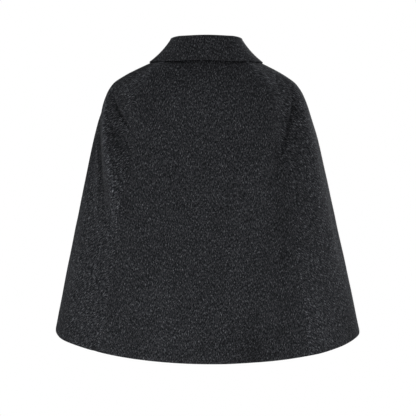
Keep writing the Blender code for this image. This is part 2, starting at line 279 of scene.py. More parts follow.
def surface_frame(surface, angle, drop):
    """Return the outward normals of a surface, and how far a degree round it reaches."""
    lower = np.minimum(drop + STEP_DROP, HEM)
    upper = np.maximum(drop - STEP_DROP, 0.0)
    round_it = surface(angle + STEP_ANGLE, drop) - surface(angle - STEP_ANGLE, drop)
    down_it = surface(angle, lower) - surface(angle, upper)
    normal = np.cross(round_it, down_it)
    normal /= np.linalg.norm(normal, axis=-1, keepdims=True)
    reach = np.linalg.norm(round_it, axis=-1) / (2 * STEP_ANGLE)
    return normal, reach


print(f"the hem at the centre back is at z = {plain_body(0.0, HEM)[2] / MM:.0f} mm")

# %% Folds on the body
def fold_height(folds, angle, drop, reach):
    """Return how far a table's folds move the cloth out, in metres."""
    height = np.zeros_like(reach)
    for fold in folds:
        along = (drop - fold.top) / (fold.bottom - fold.top)
        middle = fold.top_angle + (fold.bottom_angle - fold.top_angle) * along
        middle = middle + fold.bow * 4.0 * along * (1.0 - along)
        turn = (angle - middle + 180.0) % 360.0 - 180.0
        away = turn * reach / (fold.width * MM)
        fade = np.sin(np.pi * np.clip(along, 0.0, 1.0)) ** 2
        height += fold.depth * MM * fade * np.exp(-(away**2))
    return height


def body(angle, drop, folds=FOLDS):
    """Return points of the cloth's outer face with its folds."""
    angle, drop = np.broadcast_arrays(np.asarray(angle, float), np.asarray(drop, float))
    normal, reach = surface_frame(plain_body, angle, drop)
    return plain_body(angle, drop) + normal * fold_height(folds, angle, drop, reach)[..., None]


def waves(points):
    """Return the slight unevenness of the cloth at some points, in metres."""
    phase = points @ (wave_ways / wave_lengths[:, None]).T * math.tau + wave_starts
    return (np.sin(phase) * wave_lengths * WAVE_STEEPNESS).sum(axis=-1)


def creased_body(angle, drop):
    """Return points of the cloth's outer face with its folds, creases and unevenness."""
    points = body(angle, drop, FOLDS + CREASES)
    normal = surface_frame(plain_body, angle, drop)[0]
    return points + normal * waves(points)[..., None]


SAMPLE_ANGLES = np.linspace(-180.0, 180.0, 121)
SAMPLE_DROPS = np.linspace(0.0, HEM, 400)
sampled = np.meshgrid(SAMPLE_ANGLES, SAMPLE_DROPS)
moved = np.linalg.norm(creased_body(*sampled) - plain_body(*sampled), axis=-1)
print(f"folds and creases move the cloth by up to {moved.max() / MM:.1f} mm")

# %% [markdown]
# ## Making a panel
# A panel starts as a flat grid, like cloth on the cutting table. Its points are moved onto the form
# of the coat, and the Solidify modifier then gives the cloth its thickness. Near a seam the cloth
# rolls in, so two panels meet in a soft groove, and the hem rolls in a little too. The seam
# allowances lie under the side panels and lift them in a low welt. The points stand closer together
# there. The UV map holds the cloth's own flat metres, turned by the panel's grain, so that the nap
# later runs the way the cloth was cut, and an attribute keeps the painted light and shade: how much
# paler or darker the cloth is painted at each point.

# %% Rows and columns of points
ROW_SPACING = 3.2 * MM
EDGE_STEPS = np.array([0.0, 1.4, 2.8, 4.4, 6.4, 9.0]) * MM
SEAM_LAP = 0.3 * MM


def run_length(points, axis):
    """Return the distance run along points, down their rows (axis 0) or across them (axis 1)."""
    steps = np.linalg.norm(np.diff(points, axis=axis), axis=-1)
    return np.insert(np.cumsum(steps, axis=axis), 0, 0.0, axis=axis)


def row_drops(angle):
    """Return the drops of a panel's rows, evenly spaced down the cloth and closer at the hem."""
    length = run_length(body(angle, SAMPLE_DROPS), 0)
    rows = int(length[-1] / ROW_SPACING)
    places = np.linspace(0.0, length[-1] - EDGE_STEPS[-1], rows)
    places = np.append(places, length[-1] - EDGE_STEPS[-2::-1])
    return np.interp(places, length, SAMPLE_DROPS)


def column_angles(start, end, drops, columns):
    """Return the angles of a panel's points, row by row and closer at its two edges."""
    edges = np.stack([start(drops), end(drops)], axis=1)
    reach = surface_frame(plain_body, edges, np.broadcast_to(drops[:, None], edges.shape))[1]
    edges -= np.array([1.0, -1.0]) * (SEAM_LAP / 2) / reach
    first = edges[:, :1] + EDGE_STEPS / reach[:, :1]
    last = edges[:, 1:] - EDGE_STEPS[::-1] / reach[:, 1:]
    share = np.linspace(0.0, 1.0, columns)[1:-1]
    middle = first[:, -1:] + (last[:, :1] - first[:, -1:]) * share
    return np.concatenate([first, middle, last], axis=1)


print(f"{len(row_drops(0.0))} rows of points down the centre back")

# %% Seams and their welts
SEAM_DEPTH = 0.35 * MM
SEAM_ROLL = 2.6 * MM
SEAM_HOLLOW_DEPTH = 0.6 * MM
SEAM_HOLLOW_WIDTH = 12.0 * MM
WELT_HEIGHT = 1.3 * MM
WELT_PLACE = 5.5 * MM
WELT_WIDTH = 4.5 * MM
WELT_FADE = 220.0
WELT_LOW = 0.3


def sewn_in(distance):
    """Return how far the cloth sinks at a distance from a seam."""
    roll = SEAM_DEPTH * np.exp(-((distance / SEAM_ROLL) ** 2))
    return roll + SEAM_HOLLOW_DEPTH * np.exp(-((distance / SEAM_HOLLOW_WIDTH) ** 2))


def seam_welt(distance, drop):
    """Return how far a seam's allowances lift the cloth over them, most of all on the shoulder."""
    strength = WELT_LOW + (1.0 - WELT_LOW) * np.exp(-((drop / WELT_FADE) ** 2))
    return WELT_HEIGHT * strength * np.exp(-(((distance - WELT_PLACE) / WELT_WIDTH) ** 2))


print(f"a seam sinks by {sewn_in(0.0) / MM:.2f} mm, and its welt rises by {WELT_HEIGHT / MM:.1f} mm")

# %% A flat grid, laid on its points
def laid_grid(name, points):
    """Lay a flat grid on rows and columns of points, and return each vertex's row and column too."""
    rows, columns = points.shape[0] - 1, points.shape[1] - 1
    bpy.ops.object.select_all(action="DESELECT")
    bpy.ops.mesh.primitive_grid_add(x_subdivisions=columns, y_subdivisions=rows, size=1.0)
    piece = bpy.context.object
    piece.name = piece.data.name = name
    vertices = piece.data.vertices
    flat = np.empty(len(vertices) * 3)
    vertices.foreach_get("co", flat)
    flat = flat.reshape(-1, 3)
    # The grid is one metre wide round its middle, so rows and columns are counted from half a metre.
    column = np.rint((0.5 - flat[:, 0]) * columns).astype(int)
    row = np.rint((0.5 - flat[:, 1]) * rows).astype(int)
    vertices.foreach_set("co", points[row, column].ravel())
    return piece, row, column


def map_cloth(mesh, points, row, column, grain):
    """Give a mesh a UV map in the cloth's own flat metres, turned by its grain."""
    across = run_length(points, 1)
    across -= across[:, (points.shape[1] - 1) // 2][:, None]
    down = run_length(points, 0)
    lean = math.radians(grain)
    cloth_u = across * math.cos(lean) - down * math.sin(lean)
    cloth_v = across * math.sin(lean) + down * math.cos(lean)
    corner = np.empty(len(mesh.loops), int)
    mesh.loops.foreach_get("vertex_index", corner)
    cloth_map = np.stack([cloth_u[row, column], cloth_v[row, column]], axis=1)[corner]
    mesh.uv_layers[0].name = "cloth"
    mesh.uv_layers[0].data.foreach_set("uv", cloth_map.ravel())


centre_back = creased_body(np.zeros_like(SAMPLE_DROPS), SAMPLE_DROPS)
print(f"the centre back is {run_length(centre_back, 0)[-1] / MM:.0f} mm long along the cloth")

# %% A shell with the thickness of the cloth
SHARP_ANGLE = math.radians(50)
ROUNDING_SEGMENTS = 3

# Solidify can thicken a sheet inwards, or on both sides of its points.
INWARDS = -1.0
BOTH_SIDES = 0.0


def cloth_shell(name, points, grain, thickness, offset, rounding, painted_light_shade=0.0):
    """Make a shell of cloth on rows and columns of points, with rounded edges."""
    piece, row, column = laid_grid(name, points)
    map_cloth(piece.data, points, row, column, grain)
    # Painted light and shade for each point, kept in an attribute for the wool.
    shading_per_point = np.broadcast_to(painted_light_shade, points.shape[:2])[row, column]
    piece.data.attributes.new("painted_light_shade", "FLOAT", "POINT").data.foreach_set("value", shading_per_point)
    apply_modifier(piece, "SOLIDIFY", thickness=thickness, offset=offset, use_even_offset=True)
    apply_modifier(
        piece, "BEVEL", width=rounding, segments=ROUNDING_SEGMENTS,
        limit_method="ANGLE", angle_limit=SHARP_ANGLE,
    )
    pick(piece)
    bpy.ops.object.shade_smooth()
    return piece


print(f"edges sharper than {math.degrees(SHARP_ANGLE):.0f} degrees will be rounded")

# %% One panel of the body
CLOTH = 2.6 * MM
EDGE_ROUNDING = 0.6 * MM
HEM_DEPTH = 1.1 * MM
HEM_ROLL = 3.0 * MM
# Crests are painted paler and hollows darker by their height over this depth, as painted light and
# shade.
LIGHT_SHADE_DEPTH = 8.0 * MM
LIGHT_SHADE_RANGE = (-1.5, 2.0)


def panel(name, start, end, columns, grain, sewn=(True, True), tuck=None, welted=False):
    """Make one panel of the body between two edges, each sewn to its neighbour or free."""
    drops = row_drops(float(start(HEM) + end(HEM)) / 2)
    angle = column_angles(start, end, drops, columns)
    drop = np.broadcast_to(drops[:, None], angle.shape)
    points = creased_body(angle, drop)
    normal = surface_frame(creased_body, angle, drop)[0]
    across = run_length(points, 1)
    down = run_length(points, 0)
    sink = HEM_DEPTH * np.exp(-(((down[-1:] - down) / HEM_ROLL) ** 2))
    for is_sewn, distance in zip(sewn, (across, across[:, -1:] - across)):
        if is_sewn:
            sink = sink + sewn_in(distance)
        if welted:
            sink = sink - seam_welt(distance, drop)
    if tuck is not None:
        sink = sink + tuck(points)
    reach = surface_frame(plain_body, angle, drop)[1]
    # Painted light and shade: paler on the crests of creases and marks, darker in their hollows.
    painted_light_shade = np.clip(fold_height(CREASES + PAINTED_MARKS, angle, drop, reach) / LIGHT_SHADE_DEPTH, *LIGHT_SHADE_RANGE)
    points = points - normal * sink[..., None]
    piece = cloth_shell(name, points, grain, CLOTH, INWARDS, EDGE_ROUNDING, painted_light_shade)
    print(f"{name}: {len(drops)} rows of {angle.shape[1]} points, {len(piece.data.polygons)} faces")
    return piece


print(f"the cloth is {CLOTH / MM:.1f} mm thick")

# %% [markdown]
# ## Back, sides and fronts
# The back is cut on the straight grain. The sides pass over the arms in one piece, so their cloth
# lies on the bias behind and in front. The right front laps over the left one, which steps in
# where it is covered. Each panel could be modelled on its own, but one function cuts all five from
# the same form, so that they meet along their seams.

# %% The five panels
FRONT_LAP = 25.0 * MM
LAP_CLEARANCE = 0.7 * MM
LAP_RAMP = 60.0 * MM
BACK_COLUMNS = 150
SIDE_COLUMNS = 160
FRONT_COLUMNS = 84
STRAIGHT_GRAIN = 0.0
SIDE_GRAIN = 29.0


def lap_angle(drop):
    """Return the angle of a front's free edge, which runs straight down past the centre front."""
    return 180.0 + np.degrees(np.arcsin(FRONT_LAP / (RING["side"](drop) * MM)))


def lap_tuck(points):
    """Return how far the under front steps in where the other front covers it."""
    past_lap = np.clip((points[..., 0] - FRONT_LAP) / LAP_RAMP, 0.0, 1.0)
    return (CLOTH + LAP_CLEARANCE) * (1.0 - past_lap * past_lap * (3.0 - 2.0 * past_lap))


def on_the_right(edge):
    """Return the same edge on the wearer's right."""
    return lambda drop: -edge(drop)


left_back, left_front = SEAM["back_left"], SEAM["front"]
right_back, right_front = on_the_right(SEAM["back_right"]), on_the_right(SEAM["front"])
back = panel("back_cloth", right_back, left_back, BACK_COLUMNS, STRAIGHT_GRAIN)
side_left = panel("side_left_cloth", left_back, left_front, SIDE_COLUMNS, SIDE_GRAIN, welted=True)
side_right = panel("side_right_cloth", right_front, right_back, SIDE_COLUMNS, -SIDE_GRAIN, welted=True)
front_left = panel(
    "front_left_cloth", left_front, lap_angle, FRONT_COLUMNS, STRAIGHT_GRAIN,
    sewn=(True, False), tuck=lap_tuck,
)
front_right = panel(
    "front_right_cloth", on_the_right(lap_angle), right_front, FRONT_COLUMNS, STRAIGHT_GRAIN,
    sewn=(False, True),
)

# %% [markdown]
# ## Collar
# The collar stands up from the neck seam, rolls over and falls onto the shoulders. Two layers of
# coating make it stiff, so it keeps a clean line. It could be extruded from the neck, but lines drawn
# across it let its height and fall change along the way. Each is a short straight stand, a half circle
# for the roll and a soft curve down to the edge, and the cloth gets its thickness on both sides. The
# foot of the stand reaches lower in front, where the under front has stepped in.

# %% The collar's lines
Across = namedtuple("Across", "angle edge_angle edge_drop foot rise clear hollow")
COLLAR_LINES = (
    Across(angle=0, edge_angle=0, edge_drop=6.3, foot=-1.5, rise=45, clear=7, hollow=0),
    Across(angle=45, edge_angle=45, edge_drop=12, foot=-1.5, rise=40.5, clear=5, hollow=1.5),
    Across(angle=90, edge_angle=90, edge_drop=23, foot=-1.5, rise=33, clear=2.1, hollow=4.5),
    Across(angle=135, edge_angle=128, edge_drop=26, foot=-4.5, rise=35, clear=3, hollow=1.5),
    Across(angle=179.8, edge_angle=153, edge_drop=30, foot=-6, rise=30, clear=3.5, hollow=0),
)
LINE = {
    column: smooth_curve(COLLAR_LINES, "angle", column, level_start=column != "edge_angle")
    for column in Across._fields[1:]
}
print(f"the collar rises {LINE['rise'](0):.0f} mm at the centre back")

# %% From its foot over the roll to its edge
COLLAR_CLOTH = 3.4 * MM
COLLAR_ROUNDING = 1.3 * MM
COLLAR_TWIST = -0.4
COLLAR_GRAIN = 8.0
ROLL_RADIUS = 3.5 * MM
COLLAR_COLUMNS = 200
STAND_STEPS = 9
ROLL_STEPS = 10
FALL_STEPS = 22
UP = np.array([0.0, 0.0, 1.0])


def collar_line(place):
    """Return the points of one line across the collar, from its foot over the roll to its edge."""
    side = math.copysign(1.0, place)
    angle = abs(place)
    foot = plain_body(side * angle, 0.0)
    turn = math.radians(side * angle)
    outward = np.array([math.sin(turn) * RING["back"](0), math.cos(turn) * RING["side"](0), 0.0])
    outward /= np.linalg.norm(outward)
    rise = LINE["rise"](angle) * MM - ROLL_RADIUS
    stand = np.linspace(LINE["foot"](angle) * MM, rise, STAND_STEPS, endpoint=False)
    points = [foot + UP * height for height in stand]
    for swing in np.linspace(0.0, math.pi, ROLL_STEPS + 1):
        over = ROLL_RADIUS * (1.0 - math.cos(swing))
        points.append(foot + outward * over + UP * (rise + ROLL_RADIUS * math.sin(swing)))
    start = points[-1]
    edge_angle = side * LINE["edge_angle"](angle)
    edge_drop = LINE["edge_drop"](angle) + COLLAR_TWIST * math.sin(turn)
    normal = surface_frame(body, edge_angle, edge_drop)[0]
    edge = body(edge_angle, edge_drop) + normal * LINE["clear"](angle) * MM
    bend = (start + edge) / 2 - (outward + UP) * LINE["hollow"](angle) * MM
    for share in np.linspace(0.0, 1.0, FALL_STEPS + 1)[1:]:
        rest = 1.0 - share
        points.append(start * rest**2 + bend * 2 * share * rest + edge * share**2)
    return points


collar_end = COLLAR_LINES[-1].angle
collar_places = np.linspace(collar_end, -collar_end, COLLAR_COLUMNS + 1)
collar_points = np.array([collar_line(place) for place in collar_places]).transpose(1, 0, 2)
collar = cloth_shell(
    "collar_cloth", collar_points, COLLAR_GRAIN, COLLAR_CLOTH, BOTH_SIDES, COLLAR_ROUNDING,
)
print(f"collar: {len(collar.data.polygons)} faces")

# %% [markdown]
# ## Buttons
# The buttons are turned from horn: a dished face, a raised rim and four holes. A lathe turns a
# profile round an axis, and so does the Spin operator. A small bevel takes the sharpness off, rods
# cut the holes, and a few strands of thread cross between them.

# %% A button's section
Turning = namedtuple("Turning", "name radius height")
BUTTON_SECTION = (
    Turning("dish middle", radius=0.0, height=3.4),
    Turning("dish edge", radius=6.5, height=3.4),
    Turning("rim inside", radius=8.9, height=4.6),
    Turning("rim outside", radius=11.0, height=4.6),
    Turning("side top", radius=12.5, height=3.4),
    Turning("side bottom", radius=12.5, height=1.6),
    Turning("foot edge", radius=10.0, height=0.0),
    Turning("foot middle", radius=0.0, height=0.0),
)
button_thickness = max(turn.height for turn in BUTTON_SECTION)
print(f"a section of {len(BUTTON_SECTION)} points, {button_thickness} mm thick")

# %% Turning and drilling one button
BUTTON_SIDES = 48
BUTTON_ROUNDING = 0.5 * MM
HOLE_RADIUS = 1.1 * MM
HOLE_OFFSET = 2.2 * MM
HOLE_SIDES = 16
DRILL_LENGTH = 20.0 * MM
WELD = 0.01 * MM
SOFT_EDGE = math.radians(12)


def turned_button():
    """Spin the button's section round its axis and cut its four holes."""
    mesh = bpy.data.meshes.new("button")
    section = [(turn.radius * MM, 0.0, turn.height * MM) for turn in BUTTON_SECTION]
    mesh.from_pydata(section, [(i, i + 1) for i in range(len(section) - 1)], [])
    button = bpy.data.objects.new("button", mesh)
    bpy.context.scene.collection.objects.link(button)
    pick(button)
    bpy.ops.object.mode_set(mode="EDIT")
    bpy.ops.mesh.select_all(action="SELECT")
    bpy.ops.mesh.spin(steps=BUTTON_SIDES, angle=math.tau, center=(0, 0, 0), axis=(0, 0, 1))
    bpy.ops.mesh.select_all(action="SELECT")
    bpy.ops.mesh.remove_doubles(threshold=WELD)
    bpy.ops.mesh.normals_make_consistent(inside=False)
    bpy.ops.object.mode_set(mode="OBJECT")
    apply_modifier(
        button, "BEVEL", width=BUTTON_ROUNDING, segments=ROUNDING_SEGMENTS,
        limit_method="ANGLE", angle_limit=SOFT_EDGE,
    )
    for x_side in (-1, 1):
        for y_side in (-1, 1):
            bpy.ops.mesh.primitive_cylinder_add(
                vertices=HOLE_SIDES, radius=HOLE_RADIUS, depth=DRILL_LENGTH,
                location=(x_side * HOLE_OFFSET, y_side * HOLE_OFFSET, 0.0),
            )
            rod = bpy.context.object
            apply_modifier(button, "BOOLEAN", object=rod, operation="DIFFERENCE", solver="EXACT")
            bpy.data.objects.remove(rod)
    return button


button_model = turned_button()
button_width = button_model.dimensions.x / MM
print(f"a button: {len(button_model.data.polygons)} faces, {button_width:.1f} mm across")

# %% Sewing thread through its holes
THREAD_RADIUS = 0.28 * MM
THREAD_ROUNDNESS = 2
THREAD_STEPS = 10
THREAD_RISE = 1.3 * MM
THREAD_SPREAD = 0.5 * MM
THREAD_DEPTH = 1.5 * MM

# The ends of a strand lean to its middle by this share of its length, and the strands that slant one
# way lie a little over the others.
THREAD_LEAN = 0.105
THREAD_OVERLAP = 0.25 * MM
STRANDS = (-1, 0, 1)
DISH_HEIGHT = BUTTON_SECTION[0].height * MM


def thread_strand(start, end):
    """Make one strand of thread that comes up one hole and goes down another."""
    bpy.ops.object.select_all(action="DESELECT")
    bpy.ops.curve.primitive_bezier_curve_add()
    strand = bpy.context.object
    curve = strand.data
    curve.bevel_depth = THREAD_RADIUS
    curve.bevel_resolution = THREAD_ROUNDNESS
    curve.use_fill_caps = True
    spline = curve.splines[0]
    spline.resolution_u = THREAD_STEPS
    inward = (end - start) * THREAD_LEAN
    for point, place, lean in zip(spline.bezier_points, (start, end), (inward, -inward)):
        point.handle_left_type = point.handle_right_type = "FREE"
        point.co = place
        top = place + Vector((0.0, 0.0, THREAD_DEPTH + THREAD_RISE)) + lean
        point.handle_left = point.handle_right = top
    bpy.ops.object.convert(target="MESH")
    return strand


def join(pieces):
    """Join some pieces into the first of them."""
    pick(pieces[0])
    for piece in pieces:
        piece.select_set(True)
    bpy.ops.object.join()
    return pieces[0]


threads = []
for slant in (-1, 1):
    for strand in STRANDS:
        offset = Vector((slant, -1.0, 0.0)).normalized() * THREAD_SPREAD * strand
        corner = Vector((HOLE_OFFSET, slant * HOLE_OFFSET, 0.0))
        depth = Vector((0.0, 0.0, DISH_HEIGHT - THREAD_DEPTH + THREAD_OVERLAP * (slant > 0)))
        threads.append(thread_strand(-corner + depth + offset, corner + depth + offset))
thread_model = join(threads)
print(f"thread: {len(threads)} strands, {len(thread_model.data.polygons)} faces")

# %% [markdown]
# ## Materials, and the helpers they need
# Each material is built from nodes. One function adds a node with its settings, and its inputs are
# filled either with a value or with a link from another node. Colours are written as sRGB hex
# values, as a picture editor shows them, and turned to linear light for the shader.

# %% Colour and node helpers
def linear(hex_colour):
    """Turn an sRGB hex colour into linear red, green, blue and alpha."""
    parts = [int(hex_colour[i:i + 2], 16) / 255 for i in (1, 3, 5)]
    return (*[c / 12.92 if c <= 0.04045 else ((c + 0.055) / 1.055) ** 2.4 for c in parts], 1.0)


def fill_inputs(owner, node, inputs):
    """Fill a node's inputs, each with a value or with a link from another node of its owner."""
    for name, value in inputs.items():
        if isinstance(value, bpy.types.NodeSocket):
            owner.node_tree.links.new(value, node.inputs[name])
        else:
            node.inputs[name].default_value = value


def add_node(owner, kind, inputs=None, **settings):
    """Add a node to a material or a world with its settings, and fill its inputs."""
    node = owner.node_tree.nodes.new(kind)
    for name, value in settings.items():
        setattr(node, name, value)
    fill_inputs(owner, node, inputs or {})
    return node


def set_shades(ramp, shades):
    """Give a colour ramp its shades, each a place from 0 to 1 and a hex colour."""
    stops = ramp.color_ramp.elements
    while len(stops) < len(shades):
        stops.new(1.0)
    for stop, (place, colour) in zip(stops, shades):
        stop.position = place
        stop.color = linear(colour)


def new_material(name):
    """Make an empty node material and return it with its shader."""
    material = bpy.data.materials.new(name)
    material.use_nodes = True
    return material, material.node_tree.nodes["Principled BSDF"]


print(f"middle grey #808080 is {linear('#808080')[0]:.3f} in linear light")

# %% [markdown]
# ## Brushed wool
# The cloth is a melange coating: dark and pale fibres are mixed before spinning, and the woven cloth
# is brushed, so short hairs lie over it along the grain. The eye sees a dark, matt surface full of
# small pale flecks. Painted light and shade make it paler on the crests and marks and darker in the
# hollows. Two layers of stretched noise on the cloth's own flat metres draw hairs that cross at a
# small angle, and lift them a little as bump. A third layer adds a few pale stray hairs. Hairs could
# be grown as curves, but at the size of a picture they would be too many and too thin to see.

# %% What the wool is made of
# Real hairs are a few hundredths of a millimetre wide. They are drawn as coarse flecks, so that they
# show at the size of a picture.
HAIR_WIDTH = 0.9 * MM
HAIR_WANDER = 0.5
HAIR_DETAIL = 1.0
HAIR_SHADES = ((0.42, "#121316"), (0.57, "#202124"), (0.80, "#64666b"))

# Stray hairs are shorter by a share, and fade in only where their noise is high.
STRAY_FIBRE = "#8f9197"
STRAY_WIDTH = 1.3 * MM
STRAY_SHARE = 0.8
STRAY_SPARSE = (0.6, 0.78)

# Clouds are slow changes of tone over the cloth. Painted light and shade change its tone much more.
CLOUD_SIZE = 45.0 * MM
CLOUD_RANGE = (0.3, 0.7)
CLOUD_STRENGTH = 0.08
LIGHT_SHADE_STRENGTH = 0.35
NAP_HEIGHT = 0.5 * MM
NAP_STRENGTH = 0.3
WOOL_ROUGHNESS = 0.95
WOOL_SPECULAR = 0.15
NAP_SHEEN = "#b4b8c0"
SHEEN_WEIGHT = 0.05
SHEEN_ROUGHNESS = 0.5

# The two layers of hairs are turned by the spread from the grain, in degrees. The tone makes the
# cloth paler or darker, as its nap catches more or less light.
Wool = namedtuple("Wool", "name hair_length spread tone")
STRAIGHT = Wool("brushed_wool_straight", hair_length=6.0 * MM, spread=8.0, tone=0.99)
BIAS = Wool("brushed_wool_bias", hair_length=9.0 * MM, spread=6.0, tone=1.09)
COLLAR = Wool("brushed_wool_collar", hair_length=6.0 * MM, spread=8.0, tone=0.91)
print(f"hairs on the back: {HAIR_WIDTH / MM:.1f} mm wide, {STRAIGHT.hair_length / MM:.0f} mm long")

# %% Hairs and their colour
def flecks(material, turn, width, length):
    """Return a pattern of flecks of a size on the cloth's flat metres, turned from the grain."""
    cloth_map = add_node(material, "ShaderNodeUVMap", uv_map="cloth").outputs["UV"]
    sized = add_node(
        material, "ShaderNodeMapping",
        {"Vector": cloth_map, "Rotation": (0.0, 0.0, math.radians(turn)),
         "Scale": (width, length, 1.0)},
        vector_type="TEXTURE",
    ).outputs["Vector"]
    return add_node(
        material, "ShaderNodeTexNoise",
        {"Vector": sized, "Scale": 1.0, "Detail": HAIR_DETAIL, "Distortion": HAIR_WANDER},
    ).outputs["Fac"]


def melange_hairs(material, wool):
    """Return the height and the colour of two layers of hairs, with a few stray ones over them."""
    hairs = add_node(
        material, "ShaderNodeMath",
        {0: flecks(material, -wool.spread, HAIR_WIDTH, wool.hair_length),
         1: flecks(material, wool.spread, HAIR_WIDTH, wool.hair_length)},
        operation="MAXIMUM",
    ).outputs["Value"]
    shades = add_node(material, "ShaderNodeValToRGB", {"Fac": hairs})
    set_shades(shades, HAIR_SHADES)
    stray = add_node(
        material, "ShaderNodeMapRange",
        {"Value": flecks(material, 0.0, STRAY_WIDTH, STRAY_SHARE * wool.hair_length),
         "From Min": STRAY_SPARSE[0], "From Max": STRAY_SPARSE[1]},
    ).outputs["Result"]
    mixed = add_node(
        material, "ShaderNodeMixRGB",
        {"Fac": stray, "Color1": shades.outputs["Color"], "Color2": linear(STRAY_FIBRE)},
    ).outputs["Color"]
    return hairs, mixed


print(f"{len(HAIR_SHADES)} shades of hair, and stray hairs of {STRAY_FIBRE}")

# %% A wool for each way the cloth is cut
def tone_with_painted_shading(material, wool):
    """Return how pale the cloth is, from the wool's tone, slow clouds and painted light and shade."""
    cloud = add_node(
        material, "ShaderNodeMapRange",
        {"Value": flecks(material, 0.0, CLOUD_SIZE, CLOUD_SIZE),
         "From Min": CLOUD_RANGE[0], "From Max": CLOUD_RANGE[1],
         "To Min": wool.tone - CLOUD_STRENGTH, "To Max": wool.tone + CLOUD_STRENGTH},
    ).outputs["Result"]
    # Painted light and shade, kept on the points: paler on crests, darker in hollows.
    painted_light_shade = add_node(material, "ShaderNodeAttribute", attribute_name="painted_light_shade").outputs["Fac"]
    return add_node(
        material, "ShaderNodeMath", {0: painted_light_shade, 1: LIGHT_SHADE_STRENGTH, 2: cloud}, operation="MULTIPLY_ADD",
    ).outputs["Value"]


def brushed_wool(wool):
    """Make matt brushed wool with a soft sheen from its nap."""
    material, shader = new_material(wool.name)
    hairs, hair_colour = melange_hairs(material, wool)
    colour = add_node(
        material, "ShaderNodeVectorMath", {0: hair_colour, "Scale": tone_with_painted_shading(material, wool)},
        operation="SCALE",
    )
    bump = add_node(
        material, "ShaderNodeBump",
        {"Height": hairs, "Strength": NAP_STRENGTH, "Distance": NAP_HEIGHT},
    )
    fill_inputs(material, shader, {
        "Base Color": colour.outputs["Vector"],
        "Normal": bump.outputs["Normal"],
        "Roughness": WOOL_ROUGHNESS,
        "Specular IOR Level": WOOL_SPECULAR,
        "Sheen Weight": SHEEN_WEIGHT,
        "Sheen Roughness": SHEEN_ROUGHNESS,
        "Sheen Tint": linear(NAP_SHEEN),
    })
    return material


wool_straight, wool_bias, wool_collar = [brushed_wool(wool) for wool in (STRAIGHT, BIAS, COLLAR)]
print("wool:", wool_straight.name, wool_bias.name, wool_collar.name)

# %% [markdown]
# ## Horn and thread
# Black horn is nearly black with brown veins, and it is polished, so it shows small, clear
# highlights. The thread is dark polyester with a fine twist, duller than the horn. Noise draws the
# veins and a wave draws the twist, both on Object coordinates, so neither needs a UV map.

# %% Polished horn
VEIN_SIZE = 7.0 * MM
VEIN_DETAIL = 4.0
VEIN_WANDER = 1.5
HORN_SHADES = ((0.4, "#0c0b0b"), (0.75, "#2b231e"))
HORN_ROUGHNESS = (0.14, 0.3)
HORN_IOR = 1.55


def polished_horn():
    """Make black horn with faint brown veins, a little duller along them."""
    material, shader = new_material("polished_black_horn")
    place = add_node(material, "ShaderNodeTexCoord").outputs["Object"]
    vein = add_node(
        material, "ShaderNodeTexNoise",
        {"Vector": place, "Scale": 1 / VEIN_SIZE, "Detail": VEIN_DETAIL, "Distortion": VEIN_WANDER},
    ).outputs["Fac"]
    shades = add_node(material, "ShaderNodeValToRGB", {"Fac": vein})
    set_shades(shades, HORN_SHADES)
    wear = add_node(
        material, "ShaderNodeMapRange",
        {"Value": vein, "To Min": HORN_ROUGHNESS[0], "To Max": HORN_ROUGHNESS[1]},
    )
    fill_inputs(material, shader, {
        "Base Color": shades.outputs["Color"], "Roughness": wear.outputs["Result"], "IOR": HORN_IOR,
    })
    return material


horn = polished_horn()
print("horn:", horn.name)

# %% Sewing thread
# A real twist repeats about every half millimetre. It is drawn coarser, so that it shows.
TWIST_SIZE = 1.6 * MM
TWIST_WANDER = 1.0
TWIST_SHADES = ((0.0, "#0b0c0d"), (1.0, "#26272a"))
TWIST_STRENGTH = 0.4
TWIST_HEIGHT = 0.1 * MM
THREAD_ROUGHNESS = 0.7


def sewing_thread():
    """Make dark twisted thread."""
    material, shader = new_material("charcoal_sewing_thread")
    place = add_node(material, "ShaderNodeTexCoord").outputs["Object"]
    twist = add_node(
        material, "ShaderNodeTexWave",
        {"Vector": place, "Scale": 1 / TWIST_SIZE, "Distortion": TWIST_WANDER},
        bands_direction="DIAGONAL",
    ).outputs["Fac"]
    shades = add_node(material, "ShaderNodeValToRGB", {"Fac": twist})
    set_shades(shades, TWIST_SHADES)
    bump = add_node(
        material, "ShaderNodeBump",
        {"Height": twist, "Strength": TWIST_STRENGTH, "Distance": TWIST_HEIGHT},
    )
    fill_inputs(material, shader, {
        "Base Color": shades.outputs["Color"],
        "Normal": bump.outputs["Normal"],
        "Roughness": THREAD_ROUGHNESS,
    })
    return material


thread = sewing_thread()
print("thread:", thread.name)

# %% Dress the cloth and join thread to button
SMOOTH_ANGLE = math.radians(40)
DRESSED = (
    (back, wool_straight), (side_left, wool_bias), (side_right, wool_bias),
    (front_left, wool_straight), (front_right, wool_straight), (collar, wool_collar),
    (button_model, horn), (thread_model, thread),
)
for piece, material in DRESSED:
    piece.data.materials.append(material)
join([button_model, thread_model])
pick(button_model)
bpy.ops.object.shade_smooth_by_angle(angle=SMOOTH_ANGLE)
print(f"{len(DRESSED)} pieces dressed")

# %% [markdown]
# ## Placing the buttons
# The buttons sit down the centre front at an even spacing, square to the cloth under each. The
# finished button is copied, and each copy's place goes into its mesh.

# %% Five buttons
BUTTON_COUNT = 5
TOP_BUTTON_HEIGHT = -102.0 * MM
BUTTON_SPACING = 105.0 * MM
BUTTON_CLEARANCE = 0.3 * MM
button_heights = [TOP_BUTTON_HEIGHT - number * BUTTON_SPACING for number in range(BUTTON_COUNT)]


def front_seat(height, aside=0.0):
    """Return a place on the front, at a height and a way aside, with Z square to the cloth."""
    line = body(180.0, SAMPLE_DROPS[::-1])
    drop = float(np.interp(height, line[:, 2], SAMPLE_DROPS[::-1]))
    angle = 180.0 - math.degrees(math.asin(aside / (RING["side"](drop) * MM)))
    normal = Vector(surface_frame(body, angle, drop)[0])
    place = Vector(creased_body(np.array(angle), np.array(drop)))
    return Matrix.LocRotScale(place, normal.to_track_quat("Z", "Y"), None)


